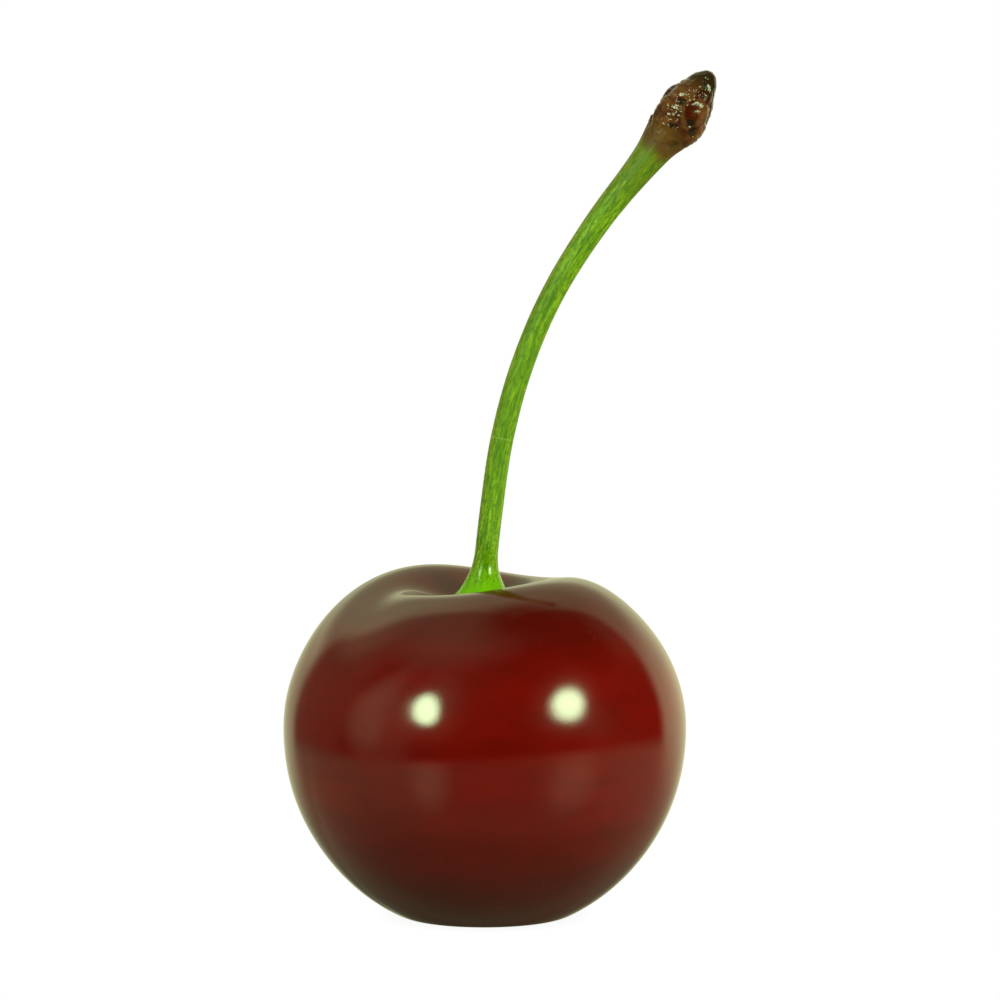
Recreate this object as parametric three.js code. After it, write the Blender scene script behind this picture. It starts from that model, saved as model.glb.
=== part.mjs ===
// A fresh sweet cherry on its stem: a glossy round fruit with a hollow on top, a shallow
// suture running out of the hollow, and a small flat spot underneath that it rests on.
//
// Millimetres, +Z up. The origin is the centre of the flat spot. The stem leans towards +X
// and a little towards +Y. Directions around the fruit are counted from +X towards +Y.
import * as THREE from 'three';

// Fruit, measured from its middle point
const FRUIT_HALF_WIDTH = 14.0;
const FRUIT_HALF_DEPTH = 13.2;
const MIDDLE_HEIGHT = 13.02;
const UPPER_REACH = 12.35;
const LOWER_REACH = 14.36;
const FLAT_SPOT_RADIUS = 4.8;
const FLAT_EDGE_ROUNDING = 0.25;

// Hollow around the stem; angles from straight up, in radians
const HOLLOW_DEPTH = 4.29;
const HOLLOW_ANGLE = 0.364;
const HOLLOW_FLATNESS = 2.27;

// Suture: the shallow valley that leads out of the hollow on one side, veering as it goes
const SUTURE_DIRECTION = 3.1;
const SUTURE_VEER = 0.9;
const SUTURE_DEPTH = 1.1;
const SUTURE_HALF_WIDTH = 0.3;
const SUTURE_ANGLE = 0.42;
const SUTURE_INNER_SPREAD = 0.22;
const SUTURE_OUTER_SPREAD = 0.4;

// Shoulders: the rim of the hollow is higher on two opposite sides than on the other two
const SHOULDER_ANGLE = 0.773;
const SHOULDER_SPREAD = 0.5;
const SHOULDER_LIFT = 0.655;
const SHOULDER_DIRECTION = 2.403;
const SHOULDER_TILT = 0.1;
const SHOULDER_TILT_DIRECTION = -1.37;
const LEVEL_AROUND_STEM = 0.18;

// Stem: points along its centre line, from the foot in the hollow to the swollen end
const STEM_CENTRE_LINE = [
  [-0.15, 0.0, 21.5],
  [0.05, 0.03, 24.6],
  [0.45, 0.21, 28.3],
  [1.2, 0.51, 33.3],
  [2.56, 0.88, 38.3],
  [4.7, 1.31, 43.3],
  [7.8, 1.8, 48.25],
  [11.7, 2.34, 53.2],
  [15.7, 3.0, 58.85],
];

const ACROSS_THE_LEAN = new THREE.Vector3(0, 1, 0);

// Radius at each distance from the foot, then at each distance back from the tip
const STEM_FOOT_PROFILE = [
  [0.0, 0.0],
  [0.12, 0.6],
  [0.45, 1.2],
  [0.95, 1.7],
  [1.25, 1.7],
  [1.65, 1.52],
  [2.1, 1.28],
  [2.7, 1.02],
  [3.5, 0.85],
  [5.0, 0.79],
];
const STEM_RADIUS = 0.79;
const STEM_SWELL_PROFILE = [
  [19.5, 0.8],
  [14.5, 0.85],
  [11.5, 0.91],
  [9.8, 0.96],
  [8.4, 1.04],
  [7.4, 1.13],
  [6.4, 1.26],
  [5.5, 1.42],
  [4.64, 1.6],
  [3.8, 1.68],
  [2.8, 1.68],
  [2.0, 1.5],
  [1.4, 1.26],
  [0.7, 0.85],
  [0.2, 0.45],
  [0.0, 0.0],
];

// How finely the curved surfaces are divided
const FRUIT_SEGMENTS_AROUND = 72;
const FRUIT_SEGMENTS_DOWN = 42;
const STEM_SEGMENTS_AROUND = 16;
const STEM_RING_SPACING = 1.2;

// The lesser of two lengths, with the corner between them rounded over the given width.
function roundedMinimum(a, b, width) {
  const closeness = Math.max(width - Math.abs(a - b), 0) / width;
  return Math.min(a, b) - closeness * closeness * width * 0.25;
}

function smoothStep(value) {
  const t = THREE.MathUtils.clamp(value, 0, 1);
  return t * t * (3 - 2 * t);
}

function bell(value, spread) {
  return Math.exp(-((value / spread) ** 2));
}

// Distance from the fruit's middle point to its skin, in the direction that lies `down`
// radians from straight up and `around` radians round from +X.
function skinDistance(down, around) {
  const sine = Math.sin(down);
  const cosine = Math.cos(down);
  const reach = THREE.MathUtils.lerp(LOWER_REACH, UPPER_REACH, smoothStep(2 * cosine + 0.5));
  const body = 1 / Math.hypot(
    (sine * Math.cos(around)) / FRUIT_HALF_WIDTH,
    (sine * Math.sin(around)) / FRUIT_HALF_DEPTH,
    cosine / reach,
  );

  const hollow = HOLLOW_DEPTH * Math.exp(-((down / HOLLOW_ANGLE) ** HOLLOW_FLATNESS));

  const outwards = down - SUTURE_ANGLE;
  const fromSuture = around - SUTURE_DIRECTION - SUTURE_VEER * outwards;
  const sutureSide = 0.5 + 0.5 * Math.cos(fromSuture);
  const across = bell(2 * Math.sin(fromSuture / 2) * sine, SUTURE_HALF_WIDTH);
  const along = bell(outwards, outwards < 0 ? SUTURE_INNER_SPREAD : SUTURE_OUTER_SPREAD);
  const suture = SUTURE_DEPTH * sutureSide * across * along;

  const twoSided = SHOULDER_LIFT * Math.cos(2 * (around - SHOULDER_DIRECTION));
  const oneSided = SHOULDER_TILT * Math.cos(around - SHOULDER_TILT_DIRECTION);
  const shoulders = (twoSided + oneSided) * bell(down - SHOULDER_ANGLE, SHOULDER_SPREAD);

  const clearOfStem = 1 - bell(down, LEVEL_AROUND_STEM);
  const skin = body - hollow + clearOfStem * (shoulders - suture);

  if (cosine > -0.2) {
    return skin;
  }
  const flatSpot = MIDDLE_HEIGHT / -cosine;
  return roundedMinimum(skin, flatSpot, FLAT_EDGE_ROUNDING);
}

// A ball with its poles on Z, its points moved out to the fruit's skin. The rings are spread
// from the top down to the edge of the flat spot, which is then one fan of flat triangles.
function makeFruit() {
  const geometry = new THREE.SphereGeometry(1, FRUIT_SEGMENTS_AROUND, FRUIT_SEGMENTS_DOWN);
  geometry.rotateX(Math.PI / 2);
  const position = geometry.attributes.position;
  const lastRing = Math.PI * (1 - 1 / FRUIT_SEGMENTS_DOWN);
  const flatSpotEdge = Math.PI - Math.atan2(FLAT_SPOT_RADIUS, MIDDLE_HEIGHT);
  const point = new THREE.Vector3();
  for (let i = 0; i < position.count; i += 1) {
    point.fromBufferAttribute(position, i).normalize();
    const around = Math.atan2(point.y, point.x);
    const ballAngle = Math.acos(THREE.MathUtils.clamp(point.z, -1, 1));
    const atBottom = ballAngle > (lastRing + Math.PI) / 2;
    const down = atBottom ? Math.PI : ballAngle * (flatSpotEdge / lastRing);
    const distance = skinDistance(down, around);
    const outwards = distance * Math.sin(down);
    const height = MIDDLE_HEIGHT + distance * Math.cos(down);
    position.setXYZ(i, outwards * Math.cos(around), outwards * Math.sin(around), height);
  }
  geometry.computeVertexNormals();

  const skin = new THREE.MeshStandardMaterial({ color: 0x6b1009, roughness: 0.15, metalness: 0 });
  const fruit = new THREE.Mesh(geometry, skin);
  fruit.name = 'fruit';
  return fruit;
}

// Points of (radius, distance along the stem), from the foot to the tip.
function stemProfile(length) {
  const profile = STEM_FOOT_PROFILE.map(([distance, radius]) => new THREE.Vector2(radius, distance));
  const shaftStart = STEM_FOOT_PROFILE.at(-1)[0];
  const shaftEnd = length - STEM_SWELL_PROFILE[0][0];
  const rings = Math.round((shaftEnd - shaftStart) / STEM_RING_SPACING);
  for (let ring = 1; ring < rings; ring += 1) {
    const distance = THREE.MathUtils.lerp(shaftStart, shaftEnd, ring / rings);
    profile.push(new THREE.Vector2(STEM_RADIUS, distance));
  }
  for (const [fromTip, radius] of STEM_SWELL_PROFILE) {
    profile.push(new THREE.Vector2(radius, length - fromTip));
  }
  return profile;
}

// A turned shape along Y, then bent so that its axis follows the stem's centre line.
function makeStem() {
  const points = STEM_CENTRE_LINE.map(([x, y, z]) => new THREE.Vector3(x, y, z));
  const centreLine = new THREE.CatmullRomCurve3(points, false, 'centripetal');
  const length = centreLine.getLength();
  const geometry = new THREE.LatheGeometry(stemProfile(length), STEM_SEGMENTS_AROUND);

  const position = geometry.attributes.position;
  const side = new THREE.Vector3();
  const front = new THREE.Vector3();
  for (let i = 0; i < position.count; i += 1) {
    const along = THREE.MathUtils.clamp(position.getY(i) / length, 0, 1);
    const centre = centreLine.getPointAt(along);
    const tangent = centreLine.getTangentAt(along);
    front.crossVectors(ACROSS_THE_LEAN, tangent).normalize();
    side.crossVectors(tangent, front);
    centre.addScaledVector(side, position.getX(i));
    centre.addScaledVector(front, position.getZ(i));
    position.setXYZ(i, centre.x, centre.y, centre.z);
  }
  geometry.computeVertexNormals();

  const bark = new THREE.MeshStandardMaterial({ color: 0x6a9a1c, roughness: 0.45, metalness: 0 });
  const stem = new THREE.Mesh(geometry, bark);
  stem.name = 'stem';
  return stem;
}

const cherry = new THREE.Group();
cherry.add(makeFruit(), makeStem());

export default cherry;
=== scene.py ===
"""A fresh sweet cherry on its stem, seen on a white studio table.

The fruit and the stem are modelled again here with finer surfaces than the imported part's, on the
same shapes and in the same frame: metres, +Z up, origin at the centre of the spot it rests on.
Lengths are named in millimetres and turned into metres as the meshes are made.
"""

import math

import bpy
import numpy as np
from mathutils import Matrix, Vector, noise


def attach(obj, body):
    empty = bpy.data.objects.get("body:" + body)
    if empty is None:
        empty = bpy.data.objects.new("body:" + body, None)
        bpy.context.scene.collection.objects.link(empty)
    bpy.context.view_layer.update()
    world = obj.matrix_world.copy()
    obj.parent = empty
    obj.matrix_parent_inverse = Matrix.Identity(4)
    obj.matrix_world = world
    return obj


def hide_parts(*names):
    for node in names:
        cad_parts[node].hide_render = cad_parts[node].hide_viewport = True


MM = 0.001

# Fruit, measured from its middle point
FRUIT_HALF_WIDTH = 14.0
FRUIT_HALF_DEPTH = 13.2
MIDDLE_HEIGHT = 13.02
UPPER_REACH = 12.35
LOWER_REACH = 14.36
FLAT_EDGE_ROUNDING = 0.25

# Hollow around the stem; angles from straight up, in radians
HOLLOW_DEPTH = 4.29
HOLLOW_ANGLE = 0.364
HOLLOW_FLATNESS = 2.27

# Suture: a shallow valley that leads out of the hollow, veering as it goes
SUTURE_DIRECTION = 3.1
SUTURE_VEER = 0.9
SUTURE_DEPTH = 1.1
SUTURE_HALF_WIDTH = 0.3
SUTURE_ANGLE = 0.42
SUTURE_INNER_SPREAD = 0.22
SUTURE_OUTER_SPREAD = 0.4

# The far side of that valley is a little fuller
VALLEY_FILL = 0.16
VALLEY_FILL_DIRECTION = 3.45
VALLEY_FILL_ANGLE = 0.52
VALLEY_FILL_SPREAD_AROUND = 0.4
VALLEY_FILL_SPREAD_DOWN = 0.15

# Suture line down the side
SUTURE_LINE_DIRECTION = 3.62
SUTURE_LINE_DEPTH = 0.025
SUTURE_LINE_HALF_WIDTH = 0.6

# Shoulders: the rim of the hollow is higher on two opposite sides than on the other two
SHOULDER_ANGLE = 0.773
SHOULDER_SPREAD = 0.5
SHOULDER_LIFT = 0.655
SHOULDER_DIRECTION = 2.403
SHOULDER_TILT = 0.1
SHOULDER_TILT_DIRECTION = -1.37
LEVEL_AROUND_STEM = 0.18

# Small unevenness of the skin, and the scar of the flower at the bottom
SKIN_WAVES = 0.035
SKIN_WAVE_LENGTH = 6.0
SCAR_RADIUS = 0.55
SCAR_DEPTH = 0.3

# Stem: points along its centre line, from the foot in the hollow to the swollen end
STEM_CENTRE_LINE = [
    (-0.15, 0.0, 21.5),
    (0.05, 0.03, 24.6),
    (0.45, 0.21, 28.3),
    (1.2, 0.51, 33.3),
    (2.56, 0.88, 38.3),
    (4.7, 1.31, 43.3),
    (7.8, 1.8, 48.25),
    (11.7, 2.34, 53.2),
    (15.76, 3.0, 58.6),
]

# Radius at each distance from the foot, then at each distance back from the tip
STEM_FOOT_PROFILE = [
    (0.0, 2.75),
    (0.4, 2.45),
    (0.8, 2.1),
    (1.2, 1.76),
    (1.6, 1.5),
    (2.1, 1.25),
    (2.7, 1.0),
    (3.5, 0.84),
    (5.0, 0.79),
]
STEM_SWELL_PROFILE = [
    (19.5, 0.8),
    (14.5, 0.85),
    (11.5, 0.91),
    (9.8, 0.96),
    (8.4, 1.04),
    (7.4, 1.13),
    (6.4, 1.26),
    (5.5, 1.38),
    (4.64, 1.54),
    (3.8, 1.66),
    (2.8, 1.62),
    (2.0, 1.4),
    (1.4, 1.1),
    (0.7, 0.78),
    (0.3, 0.54),
    (0.1, 0.32),
    (0.0, 0.0),
]
SWELL_LENGTH = 6.6
RING_FROM_FOOT = 12.0

# Scales of the swollen end: a spiral of low domes, each a turn further round and further from the tip
SCALE_COUNT = 14
SCALE_START = (0.6, 182.0)
SCALE_STEP = (0.42, 137.5)
SCALE_HALF_LENGTH = 1.15
SCALE_HALF_WIDTH = 0.85
SCALE_HEIGHT = 0.22

# Small dark pits in it: distance from the tip, degrees round, radius
PITS = [
    (3.0, -112.0, 0.2),
    (3.8, -64.0, 0.26),
    (4.2, -48.0, 0.3),
    (4.6, -95.0, 0.24),
    (5.7, -56.0, 0.3),
    (2.4, 100.0, 0.16),
    (3.6, 62.0, 0.2),
    (4.7, 148.0, 0.22),
    (5.3, 20.0, 0.18),
    (3.9, -165.0, 0.15),
]
PIT_DEPTH = 0.12

# One large smooth scale, dark red, and the wrinkled band beside it: distance from the tip, degrees round
SMOOTH_SCALE = (3.0, -63.0)
SMOOTH_SCALE_RADIUS = 1.15
SMOOTH_SCALE_HEIGHT = 0.18
WRINKLED_BAND = (2.6, -98.0)
WRINKLE_HEIGHT = 0.11

# The swollen end bulges more on the side towards which the stem leans
BULGE = 0.36
BULGE_FROM_TIP = 4.6
BULGE_SPREAD = 1.6

# Camera
PICTURE_CENTRE_X = 1.07
PICTURE_CENTRE_Z = 29.13
CAMERA_ELEVATION = 8.2
CAMERA_DISTANCE = 600.0
VIEW_WIDTH = 69.3
SENSOR_WIDTH = 36.0

# Studio. Directions are degrees round from the camera's side towards +X, then degrees up.
LAMP_STRENGTH = 28.0
LAMP_TINT = (0.72, 1.0, 0.57)
STUDIO_TINT = (0.94, 1.0, 0.59)
FILL_DISTANCE = 300.0


# ---------------------------------------------------------------- small helpers

def smooth_step(low, high, value):
    t = np.clip((value - low) / (high - low), 0.0, 1.0)
    return t * t * (3.0 - 2.0 * t)


def bell(value, spread):
    return np.exp(-((value / spread) ** 2))


def rounded_minimum(a, b, width):
    closeness = np.maximum(width - np.abs(a - b), 0.0) / width
    return np.minimum(a, b) - closeness * closeness * width * 0.25


def direction(around, up):
    """Unit vector for an angle round from the camera's side and an angle up, in degrees."""
    a, e = math.radians(around), math.radians(up)
    return Vector((math.sin(a) * math.cos(e), -math.cos(a) * math.cos(e), math.sin(e)))


def noise_at(points, wave_length, offset=0.0):
    """Smooth noise between -1 and 1 at each point, with bumps about wave_length across."""
    shift = Vector((offset, offset * 1.7, -offset))
    return np.array([noise.noise(Vector(p) / wave_length + shift) for p in points])


def grid_mesh(name, rings, closed_start=True):
    """A tube of rings, each an array of points. One point closes the last ring, and the first too when
    closed_start is set.
    """
    count, around = len(rings), len(rings[0])
    points = np.concatenate(rings).tolist()
    faces = []
    for i in range(count - 1):
        for j in range(around):
            k = (j + 1) % around
            a, b = i * around, (i + 1) * around
            faces.append((a + j, a + k, b + k, b + j))
    for closed, ring, flip in ((closed_start, 0, True), (True, count - 1, False)):
        if closed:
            points.append(np.mean(rings[ring], axis=0).tolist())
            for j in range(around):
                k = (j + 1) % around
                edge = (ring * around + j, ring * around + k)
                faces.append((edge[1], edge[0], len(points) - 1) if flip else (*edge, len(points) - 1))
    mesh = bpy.data.meshes.new(name)
    mesh.from_pydata(points, [], faces)
    mesh.shade_smooth()
    mesh.update()
    return mesh


def add_object(name, mesh):
    made = bpy.data.objects.new(name, mesh)
    bpy.context.scene.collection.objects.link(made)
    return made


def add_attribute(mesh, name, values):
    """One number for each vertex, which a material reads by name."""
    made = mesh.attributes.new(name, "FLOAT", "POINT")
    made.data.foreach_set("value", np.asarray(values, dtype=np.float32))


# ---------------------------------------------------------------- fruit

def skin_distance(down, around):
    """Distance from the fruit's middle point to its skin, in millimetres."""
    sine, cosine = np.sin(down), np.cos(down)
    reach = LOWER_REACH + (UPPER_REACH - LOWER_REACH) * smooth_step(0.0, 1.0, 2.0 * cosine + 0.5)
    body = 1.0 / np.sqrt(
        (sine * np.cos(around) / FRUIT_HALF_WIDTH) ** 2
        + (sine * np.sin(around) / FRUIT_HALF_DEPTH) ** 2
        + (cosine / reach) ** 2
    )
    hollow = HOLLOW_DEPTH * np.exp(-((down / HOLLOW_ANGLE) ** HOLLOW_FLATNESS))

    outwards = down - SUTURE_ANGLE
    from_suture = around - SUTURE_DIRECTION - SUTURE_VEER * outwards
    suture_side = 0.5 + 0.5 * np.cos(from_suture)
    across = bell(2.0 * np.sin(from_suture / 2.0) * sine, SUTURE_HALF_WIDTH)
    spread = np.where(outwards < 0.0, SUTURE_INNER_SPREAD, SUTURE_OUTER_SPREAD)
    suture = SUTURE_DEPTH * suture_side * across * bell(outwards, spread)

    two_sided = SHOULDER_LIFT * np.cos(2.0 * (around - SHOULDER_DIRECTION))
    one_sided = SHOULDER_TILT * np.cos(around - SHOULDER_TILT_DIRECTION)
    shoulders = (two_sided + one_sided) * bell(down - SHOULDER_ANGLE, SHOULDER_SPREAD)

    clear_of_stem = 1.0 - bell(down, LEVEL_AROUND_STEM)
    return body - hollow + clear_of_stem * (shoulders - suture)


def skin_details(down, around, points):
    """Unevenness of the skin and the faint suture line, in millimetres outwards."""
    waves = SKIN_WAVES * noise_at(points, SKIN_WAVE_LENGTH)
    off_line = 2.0 * np.sin((around - SUTURE_LINE_DIRECTION) / 2.0) * np.sin(down) * FRUIT_HALF_WIDTH
    down_side = smooth_step(0.8, 1.3, down) * (1.0 - smooth_step(2.5, 2.9, down))
    line = SUTURE_LINE_DEPTH * bell(off_line, SUTURE_LINE_HALF_WIDTH) * down_side
    off_fill = 2.0 * np.sin((around - VALLEY_FILL_DIRECTION) / 2.0)
    fill_around = bell(off_fill, VALLEY_FILL_SPREAD_AROUND)
    fill_down = bell(down - VALLEY_FILL_ANGLE, VALLEY_FILL_SPREAD_DOWN)
    return waves + VALLEY_FILL * fill_around * fill_down - line


def make_fruit():
    rows, columns = 200, 256
    around = np.linspace(0.0, 2.0 * math.pi, columns, endpoint=False)
    rings = []
    for step in range(1, rows):
        down = np.full(columns, math.pi * step / rows)
        distance = skin_distance(down, around)
        unit = np.stack([np.sin(down) * np.cos(around), np.sin(down) * np.sin(around), np.cos(down)], 1)
        distance = distance + skin_details(down, around, unit * distance[:, None])
        plane = np.where(unit[:, 2] < -0.2, MIDDLE_HEIGHT / np.maximum(-unit[:, 2], 0.001), 1000.0)
        distance = rounded_minimum(distance, plane, FLAT_EDGE_ROUNDING)
        ring = unit * distance[:, None] + (0.0, 0.0, MIDDLE_HEIGHT)
        if step > rows / 2:
            ring[:, 2] += SCAR_DEPTH * bell(np.hypot(ring[:, 0], ring[:, 1]), SCAR_RADIUS)
        rings.append(ring * MM)
    mesh = grid_mesh("fruit_skin", rings[::-1])
    fruit = add_object("fruit_skin", mesh)
    mesh.materials.append(skin_material())
    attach(fruit, "root")
    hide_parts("fruit")
    return fruit


# ---------------------------------------------------------------- stem

def curve_through(points, samples_per_span=60):
    """Points on a centripetal Catmull-Rom curve, closely spaced."""
    p = [np.array(q) for q in points]
    p = [2.0 * p[0] - p[1]] + p + [2.0 * p[-1] - p[-2]]
    curve = []
    for i in range(1, len(p) - 2):
        p0, p1, p2, p3 = p[i - 1:i + 3]
        t0 = 0.0
        t1 = t0 + np.linalg.norm(p1 - p0) ** 0.5
        t2 = t1 + np.linalg.norm(p2 - p1) ** 0.5
        t3 = t2 + np.linalg.norm(p3 - p2) ** 0.5
        for t in np.linspace(t1, t2, samples_per_span, endpoint=False):
            a1 = (t1 - t) / (t1 - t0) * p0 + (t - t0) / (t1 - t0) * p1
            a2 = (t2 - t) / (t2 - t1) * p1 + (t - t1) / (t2 - t1) * p2
            a3 = (t3 - t) / (t3 - t2) * p2 + (t - t2) / (t3 - t2) * p3
            b1 = (t2 - t) / (t2 - t0) * a1 + (t - t0) / (t2 - t0) * a2
            b2 = (t3 - t) / (t3 - t1) * a2 + (t - t1) / (t3 - t1) * a3
            curve.append((t2 - t) / (t2 - t1) * b1 + (t - t1) / (t2 - t1) * b2)
    curve.append(p[-2])
    return np.array(curve)


def smooth_profile(profile, distances):
    """Radius at each distance, eased between the profile's points."""
    known = np.array([d for d, _ in profile])
    radii = np.array([r for _, r in profile])
    slopes = np.gradient(radii, known)
    span = np.clip(np.searchsorted(known, distances, side="right") - 1, 0, len(known) - 2)
    width = known[span + 1] - known[span]
    t = np.clip((distances - known[span]) / width, 0.0, 1.0)
    start = (1.0 + 2.0 * t) * (1.0 - t) ** 2 * radii[span] + t * (1.0 - t) ** 2 * width * slopes[span]
    end = t * t * (3.0 - 2.0 * t) * radii[span + 1] + t * t * (t - 1.0) * width * slopes[span + 1]
    return start + end


def stem_radius(along, length):
    foot = smooth_profile(STEM_FOOT_PROFILE, along)
    swell = smooth_profile(STEM_SWELL_PROFILE[::-1], length - along)
    middle = smooth_step(length - STEM_SWELL_PROFILE[0][0] - 4.0, length - STEM_SWELL_PROFILE[0][0], along)
    return np.maximum(foot * (1.0 - middle) + swell * middle, 0.0)


def sideways(angle, degrees_round, radius):
    """Distance around the stem from a place that many degrees round, in millimetres."""
    return 2.0 * np.sin((angle - math.radians(degrees_round)) / 2.0) * radius


def spiral_scales(points, angle, from_tip, radius):
    """Height and shade of the scales around one ring, where the highest dome covers the others."""
    height = np.zeros(len(angle))
    shade = np.full(len(angle), 0.5)
    bent = 0.5 * noise_at(points, 0.9, 21.0)
    skewed = 0.45 * noise_at(points, 0.8, 33.0)
    for i in range(SCALE_COUNT):
        along = (from_tip - SCALE_START[0] - i * SCALE_STEP[0]) / SCALE_HALF_LENGTH + bent
        across = sideways(angle, SCALE_START[1] + i * SCALE_STEP[1], radius) / SCALE_HALF_WIDTH + skewed
        dome = SCALE_HEIGHT * np.sqrt(np.clip(1.0 - along ** 2 - across ** 2, 0.0, 1.0))
        dome = dome * (0.75 + 0.25 * math.cos(2.4 * i))
        shade = np.where(dome > height, 0.5 + 0.5 * math.cos(4.1 * i), shade)
        height = np.maximum(height, dome)
    return height, shade


def dark_pits(points, angle, from_tip, radius):
    """How deep in a pit each point of one ring is, 0 to 1. The pits have frayed edges."""
    frayed = 0.3 * noise_at(points, 0.3, 5.0)
    pitted = np.zeros(len(angle))
    for pit_from_tip, degrees_round, pit_radius in PITS:
        away = np.hypot(sideways(angle, degrees_round, radius), from_tip - pit_from_tip) + frayed
        pitted = np.maximum(pitted, 1.0 - smooth_step(0.4 * pit_radius, 1.5 * pit_radius, away))
    return pitted


def knob_surface(points, angle, from_tip, radius):
    """The swollen end around one ring: how far it stands out, the scale's tone with painted shade in the
    creases, how pitted.
    """
    knob = 1.0 - smooth_step(SWELL_LENGTH - 2.2, SWELL_LENGTH + 0.4, from_tip)
    if knob <= 0.0:
        return np.zeros(len(angle)), np.full(len(angle), 0.5), np.zeros(len(angle))
    height, shade = spiral_scales(points, angle, from_tip, radius)
    pitted = dark_pits(points, angle, from_tip, radius)
    folds = 0.06 * noise_at(points, 0.8) + 0.04 * noise_at(points, 0.32, 3.0)

    # Fine wrinkles, strongest along one band and gone at the tip
    band = bell(sideways(angle, WRINKLED_BAND[1], radius), 0.6) * bell(from_tip - WRINKLED_BAND[0], 1.5)
    band = np.maximum(band, 0.35) * smooth_step(0.4, 1.5, from_tip)
    wrinkles = WRINKLE_HEIGHT * band * noise_at(points, 0.2, 11.0)

    # The large smooth scale lies over all of that. The creases between scales are darkened: painted shade
    away = np.hypot(sideways(angle, SMOOTH_SCALE[1], radius), from_tip - SMOOTH_SCALE[0])
    smooth = 1.0 - smooth_step(0.65 * SMOOTH_SCALE_RADIUS, SMOOTH_SCALE_RADIUS, away)
    wrinkles = wrinkles * (1.0 - smooth)
    folds = folds * (1.0 - 0.7 * smooth)
    height = height * (1.0 - smooth) + SMOOTH_SCALE_HEIGHT * smooth
    shade = shade * (0.35 + 0.65 * smooth_step(0.02, 0.12, height)) * (1.0 - 0.75 * smooth)

    bulge = BULGE * np.maximum(np.cos(angle), 0.0) * bell(from_tip - BULGE_FROM_TIP, BULGE_SPREAD)
    near_tip = smooth_step(0.0, 0.9, from_tip)
    out = near_tip * (height - 0.03) + bulge + folds + wrinkles - PIT_DEPTH * pitted
    return knob * out, shade, knob * pitted


def make_stem():
    curve = curve_through(STEM_CENTRE_LINE)
    steps = np.linalg.norm(np.diff(curve, axis=0), axis=1)
    travelled = np.concatenate([[0.0], np.cumsum(steps)])
    length = travelled[-1]

    columns = 160
    angle = np.linspace(0.0, 2.0 * math.pi, columns, endpoint=False)
    shaft_end = length - SWELL_LENGTH - 1.5
    places = np.concatenate([
        np.linspace(0.0, 5.0, 50, endpoint=False),
        np.linspace(5.0, shaft_end, 110, endpoint=False),
        np.linspace(shaft_end, length - 0.6, 190, endpoint=False),
        length - 0.6 * np.linspace(1.0, 0.08, 24) ** 2,
    ])
    radii = stem_radius(places, length)

    rings, along, tones_and_crease_shades, pits = [], [], [], []
    for place, radius in zip(places, radii):
        centre = np.array([np.interp(place, travelled, curve[:, k]) for k in range(3)])
        ahead = np.array([np.interp(min(place + 0.05, length), travelled, curve[:, k]) for k in range(3)])
        behind = np.array([np.interp(max(place - 0.05, 0.0), travelled, curve[:, k]) for k in range(3)])
        tangent = (ahead - behind) / np.linalg.norm(ahead - behind)
        side = np.cross((0.0, 1.0, 0.0), tangent)
        side /= np.linalg.norm(side)
        front = np.cross(tangent, side)
        ridges = 0.012 * np.cos(7.0 * angle + 0.15 * place) + 0.008 * np.cos(11.0 * angle - 0.1 * place + 2.0)
        spread = radius * (1.0 + ridges * smooth_step(1.5, 5.0, place))
        out = np.outer(np.cos(angle), side) + np.outer(np.sin(angle), front)
        ring = centre + out * spread[:, None]
        lumps, shade, pitted = knob_surface(ring, angle, length - place, radius)
        ring = ring + out * (lumps * min(1.0, radius / 0.8))[:, None]
        rings.append(ring * MM)
        along.append(np.full(columns, place))
        tones_and_crease_shades.append(shade)
        pits.append(pitted)
    mesh = grid_mesh("stem_bark", rings)
    from_foot = np.concatenate(along + [[0.0, length]])
    add_attribute(mesh, "from_foot", from_foot)
    add_attribute(mesh, "from_tip", length - from_foot)
    add_attribute(mesh, "turn_cos", np.append(np.tile(np.cos(angle), len(rings)), [0.0, 0.0]))
    add_attribute(mesh, "turn_sin", np.append(np.tile(np.sin(angle), len(rings)), [0.0, 0.0]))
    add_attribute(mesh, "scale_tone_and_crease_shade", np.concatenate(tones_and_crease_shades + [[0.5, 0.5]]))
    add_attribute(mesh, "pitted", np.concatenate(pits + [[0.0, 0.0]]))
    stem = add_object("stem_bark", mesh)
    mesh.materials.append(stem_material())
    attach(stem, "root")
    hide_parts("stem")
    return stem


# ---------------------------------------------------------------- materials

class Nodes:
    """Short names for adding nodes to one material's or world's tree."""

    def __init__(self, tree):
        self.tree = tree
        tree.nodes.clear()

    def add(self, kind, inputs=None, **settings):
        node = self.tree.nodes.new("ShaderNode" + kind)
        for key, value in settings.items():
            setattr(node, key, value)
        for key, value in (inputs or {}).items():
            self.set(node.inputs[key], value)
        return node

    def set(self, socket, value):
        if isinstance(value, bpy.types.NodeSocket):
            self.tree.links.new(value, socket)
        else:
            socket.default_value = value

    def math(self, operation, *values):
        return self.add("Math", dict(enumerate(values)), operation=operation).outputs[0]

    def ramp(self, value, low, high, start=0.0, end=1.0, smooth=True):
        """Goes from start to end as value goes from low to high."""
        kind = "SMOOTHSTEP" if smooth else "LINEAR"
        inputs = {0: value, 1: low, 2: high, 3: start, 4: end}
        return self.add("MapRange", inputs, interpolation_type=kind).outputs[0]

    def noise(self, vector, scale, detail=2.0, roughness=0.5):
        inputs = {"Vector": vector, "Scale": scale, "Detail": detail, "Roughness": roughness}
        return self.add("TexNoise", inputs).outputs[0]

    def attribute(self, name):
        return self.add("Attribute", attribute_name=name).outputs["Fac"]

    def blend(self, amount, a, b):
        """Colour a, going to colour b as amount goes from 0 to 1."""
        node = self.add("Mix", data_type="RGBA", blend_type="MIX")
        for socket, value in zip((node.inputs[0], node.inputs[6], node.inputs[7]), (amount, a, b)):
            self.set(socket, value)
        return node.outputs[2]

    def tinge(self, amount, share, a, b):
        """Colour a, going as far as that share of colour b as amount goes from 0 to 1."""
        return self.blend(self.math("MULTIPLY", amount, share), a, b)


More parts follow.
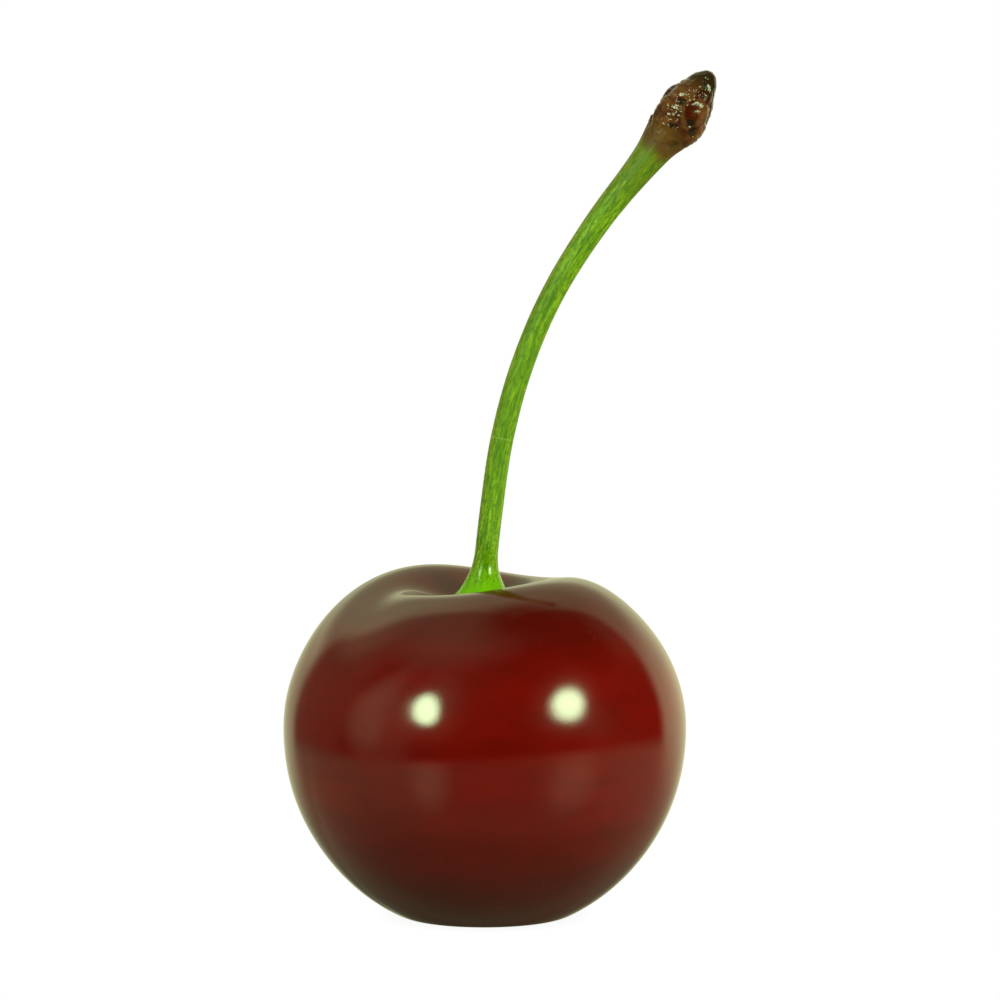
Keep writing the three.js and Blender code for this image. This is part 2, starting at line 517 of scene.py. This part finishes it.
def colour(red, green, blue):
    """A colour given as it shows on screen, 0 to 255, turned into light."""
    def to_light(value):
        v = value / 255.0
        return v / 12.92 if v <= 0.04045 else ((v + 0.055) / 1.055) ** 2.4
    return (to_light(red), to_light(green), to_light(blue), 1.0)


def new_material(name):
    material = bpy.data.materials.new(name)
    material.use_nodes = True
    return material, Nodes(material.node_tree)


def skin_material():
    material, n = new_material("cherry_skin")
    place = n.add("TexCoord").outputs["Object"]
    flattened = n.add("VectorMath", {0: place, 1: (1.0, 1.0, 3.0)}, operation="MULTIPLY").outputs[0]

    # Deep red flesh that shows through, in soft level streaks of lighter and darker red
    streaks = n.noise(flattened, 130.0, detail=4.0, roughness=0.6)
    tint = n.blend(n.ramp(streaks, 0.3, 0.7), (0.134, 0.0023, 0.0012, 1.0), (0.182, 0.0029, 0.0013, 1.0))
    height = n.add("SeparateXYZ", {0: place}).outputs[2]
    # Darker red towards the top and into the hollow round the stem: partly the skin's own darker tone there,
    # partly painted shade
    shoulder_tone_and_shade = n.ramp(height, 0.0170, 0.0235)
    tint = n.tinge(shoulder_tone_and_shade, 0.66, tint, (0.046, 0.0030, 0.0016, 1.0))
    # Darker towards the bottom, where the fruit rests: painted shade
    painted_underside_shade = n.ramp(height, 0.0110, 0.001)
    tint = n.tinge(painted_underside_shade, 0.75, tint, (0.050, 0.0050, 0.0026, 1.0))

    # Fine specks in the skin
    specks = n.add("TexVoronoi", {"Vector": place, "Scale": 1500.0}, feature="F1").outputs["Distance"]
    speck = n.ramp(specks, 0.10, 0.22, 1.0, 0.0)
    sparse = n.ramp(n.noise(place, 420.0), 0.55, 0.75)
    tint = n.tinge(n.math("MULTIPLY", speck, sparse), 0.2, tint, (0.30, 0.045, 0.012, 1.0))

    roughness = n.ramp(n.noise(place, 160.0), 0.3, 0.7, 0.09, 0.14)
    grain = n.noise(place, 8000.0, detail=2.0)
    swell = n.noise(place, 420.0, detail=2.0)
    heights = n.math("ADD", n.math("MULTIPLY", grain, 0.6), swell)
    bump = n.add("Bump", {"Strength": 0.05, "Distance": 0.0001, "Height": heights}).outputs[0]

    shader = n.add("BsdfPrincipled", {"Base Color": tint, "Roughness": roughness, "Normal": bump})
    shader.inputs["IOR"].default_value = 1.5
    n.add("OutputMaterial", {"Surface": shader.outputs[0]})
    return material


def along_fibres(n, closeness):
    """A place on the stem for noise drawn out along it. The less closeness, the longer the fibres."""
    along = n.math("MULTIPLY", n.attribute("from_foot"), closeness)
    inputs = {0: n.attribute("turn_cos"), 1: n.attribute("turn_sin"), 2: along}
    return n.add("CombineXYZ", inputs).outputs[0]


def shaft_green(n, place, fibre, fine):
    """Greens of the shaft and the foot, streaked along the fibres."""
    from_foot, from_tip = n.attribute("from_foot"), n.attribute("from_tip")
    broad = n.noise(fibre, 2.0)
    green = n.blend(n.ramp(broad, 0.35, 0.65), colour(106, 142, 10), colour(138, 170, 18))
    green = n.blend(n.ramp(from_tip, 13.0, 8.0, 0.0, 0.75), green, colour(104, 112, 14))
    green = n.blend(n.ramp(fine, 0.50, 0.36, 0.0, 0.8), green, colour(70, 108, 2))
    green = n.blend(n.ramp(fine, 0.56, 0.70, 0.0, 0.7), green, colour(166, 194, 36))
    # Paler and more olive on the outer side of the bend, which faces up and to the left: painted light, that
    # side drawn lighter
    painted_light_outer_side = n.ramp(n.attribute("turn_cos"), -0.55, -1.0)
    green = n.tinge(painted_light_outer_side, 0.45, green, colour(158, 156, 70))
    foot = n.ramp(from_foot, 1.4, 3.4, 1.0, 0.0)
    green = n.tinge(foot, 0.8, green, colour(122, 184, 16))

    # Short dark dashes, and finer speckles that crowd above the foot and thin out higher up
    dashes = n.ramp(n.noise(along_fibres(n, 0.4), 5.5), 0.48, 0.62)
    dash_amount = n.ramp(from_foot, 1.8, 4.0, 0.15, 0.6)
    green = n.blend(n.math("MULTIPLY", dashes, dash_amount), green, colour(64, 106, 2))
    speckles = n.ramp(n.noise(place, 6500.0), 0.50, 0.62)
    low_down = n.math("MULTIPLY", n.ramp(from_foot, 1.5, 2.4), n.ramp(from_foot, 14.0, 4.0, 0.15, 0.6))
    green = n.blend(n.math("MULTIPLY", speckles, low_down), green, colour(60, 110, 4))

    # A faint pale ring a third of the way up
    ring = n.math("ABSOLUTE", n.math("SUBTRACT", from_foot, RING_FROM_FOOT))
    return n.blend(n.ramp(ring, 0.03, 0.09, 0.28, 0.0), green, colour(170, 198, 96))


def knob_amber(n, place):
    """Mottled brown of the swollen end, nearly black at the tip and in the pits."""
    from_tip = n.attribute("from_tip")
    mottled = n.math("SUBTRACT", n.noise(place, 1100.0, detail=3.0), 0.5)
    # The scales' own tones, darker in the creases where shade is painted, then mottled
    shade = n.math("ADD", n.attribute("scale_tone_and_crease_shade"), n.math("MULTIPLY", mottled, 2.2))
    amber = n.blend(n.ramp(shade, 0.1, 0.9), colour(72, 20, 5), colour(112, 62, 32))
    blotch = n.ramp(n.noise(place, 1300.0), 0.60, 0.70)
    amber = n.tinge(blotch, 0.45, amber, colour(60, 40, 20))
    amber = n.tinge(n.ramp(from_tip, 4.2, 5.6), 0.7, amber, colour(108, 72, 24))
    amber = n.tinge(n.ramp(from_tip, 2.6, 0.6), 0.9, amber, colour(42, 31, 18))
    return n.tinge(n.attribute("pitted"), 0.9, amber, colour(26, 18, 10))


def stem_material():
    material, n = new_material("cherry_stem")
    from_foot, from_tip = n.attribute("from_foot"), n.attribute("from_tip")
    place = n.add("TexCoord").outputs["Object"]
    fibre = along_fibres(n, 0.11)
    fine = n.noise(fibre, 6.5, detail=4.0, roughness=0.65)

    # Green goes over to brown at a ragged edge
    ragged = n.math("MULTIPLY", n.math("SUBTRACT", n.noise(fibre, 1.6), 0.5), 1.6)
    brown_part = n.ramp(n.math("ADD", from_tip, ragged), SWELL_LENGTH + 1.0, SWELL_LENGTH - 0.2)
    tint = n.blend(brown_part, shaft_green(n, place, fibre, fine), knob_amber(n, place))

    # The foot and the knob look wet, and the shaft between them is duller
    uneven = n.math("MULTIPLY", n.math("SUBTRACT", fine, 0.5), 6.0)
    wet_foot = n.ramp(n.math("ADD", from_foot, uneven), 5.0, 3.6)
    wet = n.math("MAXIMUM", wet_foot, n.ramp(from_tip, 6.0, 4.8))
    roughness = n.ramp(wet, 0.0, 1.0, 0.55, 0.10, smooth=False)
    heights = n.math("ADD", fine, n.math("MULTIPLY", n.noise(place, 2600.0, detail=3.0), 0.5))
    bump = n.add("Bump", {"Strength": 0.35, "Distance": 0.00006, "Height": heights}).outputs[0]
    shader = n.add("BsdfPrincipled", {"Base Color": tint, "Roughness": roughness, "Normal": bump})
    shader.inputs["IOR"].default_value = 1.48
    shader.inputs["Specular IOR Level"].default_value = 0.38
    n.add("OutputMaterial", {"Surface": shader.outputs[0]})
    return material


# ---------------------------------------------------------------- studio

def show_only_to(obj, camera=False, diffuse=False):
    obj.visible_camera = camera
    obj.visible_diffuse = diffuse
    obj.visible_glossy = False
    obj.visible_transmission = False
    obj.visible_shadow = False


def disc(name, radius, height):
    """A flat round plate made of rings, facing up."""
    angle = np.linspace(0.0, 2.0 * math.pi, 96, endpoint=False)
    rings = []
    for share in (1.0, 0.6, 0.3, 0.1):
        r = radius * share * MM
        rings.append(np.stack([r * np.cos(angle), r * np.sin(angle), np.full(96, height * MM)], 1))
    made = add_object(name, grid_mesh(name, rings, closed_start=False))
    return made


def make_floor():
    """The pale floor that shows, with a faint shade where the fruit stands on it."""
    floor = disc("floor", 4000.0, -0.02)
    material, n = new_material("pale_floor")
    shade = n.add("AmbientOcclusion", {"Distance": 0.0014}, samples=12).outputs["AO"]
    tint = n.blend(n.ramp(shade, 0.0, 0.5, smooth=False), (0.94, 0.94, 0.93, 1.0), (1.0, 1.0, 1.0, 1.0))
    light = n.add("Emission", {"Color": tint, "Strength": 1.0})
    n.add("OutputMaterial", {"Surface": light.outputs[0]})
    floor.data.materials.append(material)
    show_only_to(floor, camera=True)


class Surroundings:
    """Brightness of the studio by direction: degrees round from the camera's side, degrees up."""

    def __init__(self, nodes):
        self.n = nodes
        split = nodes.add("SeparateXYZ", {0: nodes.add("TexCoord").outputs["Generated"]})
        x, y, z = split.outputs
        turned = nodes.math("ARCTAN2", x, nodes.math("MULTIPLY", y, -1.0))
        self.around = nodes.math("DEGREES", turned)
        self.up = nodes.math("DEGREES", nodes.math("ARCSINE", z))

    def times(self, *values):
        product = values[0]
        for value in values[1:]:
            product = self.n.math("MULTIPLY", product, value)
        return product

    def total(self, *values):
        result = values[0]
        for value in values[1:]:
            result = self.n.math("ADD", result, value)
        return result

    def away(self, around):
        """How many degrees round from a direction, whichever way is shorter."""
        offset = self.n.math("SUBTRACT", self.around, around)
        return self.n.math("ABSOLUTE", self.n.math("WRAP", offset, 180.0, -180.0))

    def patch(self, around, up, wide, tall, soft, strength, roll=0.0):
        """A soft-edged ellipse. wide and tall are half-sizes to where it has faded by half."""
        n = self.n
        offset = n.math("WRAP", n.math("SUBTRACT", self.around, around), 180.0, -180.0)
        across = n.math("MULTIPLY", offset, math.cos(math.radians(up)))
        rise = n.math("SUBTRACT", self.up, up)
        c, s = math.cos(math.radians(roll)), math.sin(math.radians(roll))
        u = self.total(self.times(across, c / wide), self.times(rise, s / wide))
        v = self.total(self.times(across, -s / tall), self.times(rise, c / tall))
        reach = n.math("SQRT", self.total(self.times(u, u), self.times(v, v)))
        return n.ramp(reach, 1.0 - soft, 1.0 + soft, strength, 0.0)


def make_world():
    """White to the camera. To the fruit: a white wall behind, a dark room in front, a lit table."""
    world = bpy.data.worlds.new("studio")
    world.use_nodes = True
    bpy.context.scene.world = world
    n = Nodes(world.node_tree)
    s = Surroundings(n)

    from_wall = s.away(171.0)
    wall = s.times(
        n.ramp(from_wall, 45.0, 56.0, 1.12, 0.0),
        n.ramp(s.up, 12.0, 28.0, 1.0, 0.6),
        n.ramp(s.up, 58.0, 82.0, 1.0, 0.2),
    )
    dim_corner = s.times(n.ramp(s.away(-160.0), 20.0, 45.0, 0.28, 0.0), n.ramp(s.up, 16.0, 6.0))
    wall = s.times(wall, n.math("SUBTRACT", 1.0, dim_corner))
    room = s.total(
        wall,
        0.02,
        s.patch(-72.0, 20.0, 11.0, 24.0, 0.6, 0.62),
        s.patch(-56.0, 2.0, 12.0, 16.0, 0.6, 0.22),
        s.patch(-112.0, 12.0, 26.0, 42.0, 0.3, 0.16),
        s.patch(-112.0, 66.0, 42.0, 12.0, 0.7, 0.36),
        s.patch(-140.0, 44.0, 16.0, 12.0, 0.6, 0.35),
        s.patch(-60.0, 45.0, 36.0, 40.0, 0.9, 0.10),
        s.patch(65.0, 3.0, 12.0, 8.0, 0.8, 0.16),
        s.patch(114.0, 38.0, 12.0, 16.0, 0.6, 0.14),
    )
    shade_in_front = s.times(n.ramp(s.away(2.0), 18.0, 44.0, 0.5, 0.0), n.ramp(s.up, -50.0, -25.0))
    shade_behind = s.times(
        n.ramp(s.away(180.0), 5.0, 50.0, 0.65, 0.0),
        n.ramp(s.up, -14.0, -32.0),
        n.ramp(s.up, -60.0, -42.0),
    )
    table = s.times(
        n.ramp(s.up, -62.0, -14.0, 0.18, 0.42),
        n.math("SUBTRACT", 1.0, shade_in_front),
        n.math("SUBTRACT", 1.0, shade_behind),
    )
    table = s.total(
        table,
        s.times(n.ramp(from_wall, 40.0, 60.0, 0.5, 0.0), n.ramp(s.up, -26.0, -6.0)),
        s.patch(-31.0, -21.0, 9.0, 11.0, 0.8, 0.42),
        s.patch(51.0, -22.0, 11.0, 11.0, 0.8, 0.38),
    )
    above_table = n.blend(n.ramp(from_wall, 48.0, 54.0), n.ramp(s.up, -18.0, -2.0), n.ramp(s.up, -12.5, -7.0))
    dull = n.add("Mix", {0: above_table, 2: table, 3: room}, data_type="FLOAT").outputs[0]

    lamps = s.total(
        s.patch(-38.5, 27.7, 6.4, 10.4, 0.4, LAMP_STRENGTH, roll=26.0),
        s.patch(-38.5, 27.7, 13.0, 17.0, 0.9, 0.4, roll=24.0),
        s.patch(45.5, 18.3, 10.0, 8.2, 0.4, LAMP_STRENGTH, roll=-14.0),
        s.patch(45.5, 18.3, 16.0, 13.0, 0.9, 0.4, roll=-14.0),
    )
    studio = n.add("Background", {"Color": (*STUDIO_TINT, 1.0), "Strength": dull}).outputs[0]
    lit = n.add("Background", {"Color": (*LAMP_TINT, 1.0), "Strength": lamps}).outputs[0]
    both = n.add("AddShader", {0: studio, 1: lit}).outputs[0]
    white = n.add("Background", {"Color": (1.0, 1.0, 1.0, 1.0), "Strength": 1.0}).outputs[0]
    seen = n.add("LightPath").outputs["Is Camera Ray"]
    mixed = n.add("MixShader", {0: seen, 1: both, 2: white}).outputs[0]
    n.add("OutputWorld", {"Surface": mixed})


def add_fill(name, around, up, size, strength):
    """A large soft light that brightens colours without being mirrored in the gloss."""
    light = bpy.data.lights.new(name, "AREA")
    light.shape = "SQUARE"
    light.size = size * MM
    light.energy = strength * math.pi * (FILL_DISTANCE * MM) ** 2
    light.color = STUDIO_TINT
    fill = bpy.data.objects.new(name, light)
    bpy.context.scene.collection.objects.link(fill)
    aim = direction(around, up)
    fill.location = Vector((0.0, 0.0, MIDDLE_HEIGHT * MM)) + aim * FILL_DISTANCE * MM
    fill.rotation_mode = "QUATERNION"
    fill.rotation_quaternion = aim.to_track_quat("Z", "Y")
    show_only_to(fill, diffuse=True)


def make_camera():
    data = bpy.data.cameras.new("camera")
    data.sensor_width = SENSOR_WIDTH
    data.lens = SENSOR_WIDTH * CAMERA_DISTANCE / VIEW_WIDTH
    data.clip_start = 0.05
    data.clip_end = 20.0
    camera = bpy.data.objects.new("camera", data)
    bpy.context.scene.collection.objects.link(camera)
    back = direction(0.0, CAMERA_ELEVATION)
    target = Vector((PICTURE_CENTRE_X, 0.0, PICTURE_CENTRE_Z)) * MM
    camera.location = target + back * CAMERA_DISTANCE * MM
    camera.rotation_mode = "QUATERNION"
    camera.rotation_quaternion = back.to_track_quat("Z", "Y")
    bpy.context.scene.camera = camera


# ---------------------------------------------------------------- the scene

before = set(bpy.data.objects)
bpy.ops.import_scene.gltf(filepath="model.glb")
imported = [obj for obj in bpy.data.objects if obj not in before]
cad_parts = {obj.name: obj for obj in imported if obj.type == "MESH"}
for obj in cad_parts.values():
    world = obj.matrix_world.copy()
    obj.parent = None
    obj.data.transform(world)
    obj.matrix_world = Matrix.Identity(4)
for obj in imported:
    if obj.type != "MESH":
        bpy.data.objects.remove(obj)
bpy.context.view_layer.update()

make_camera()
make_fruit()
make_stem()
make_floor()
make_world()
add_fill("fill_right", around=100.0, up=5.0, size=250.0, strength=2.2)

scene = bpy.context.scene
scene.view_settings.view_transform = "Standard"
scene.view_settings.look = "None"
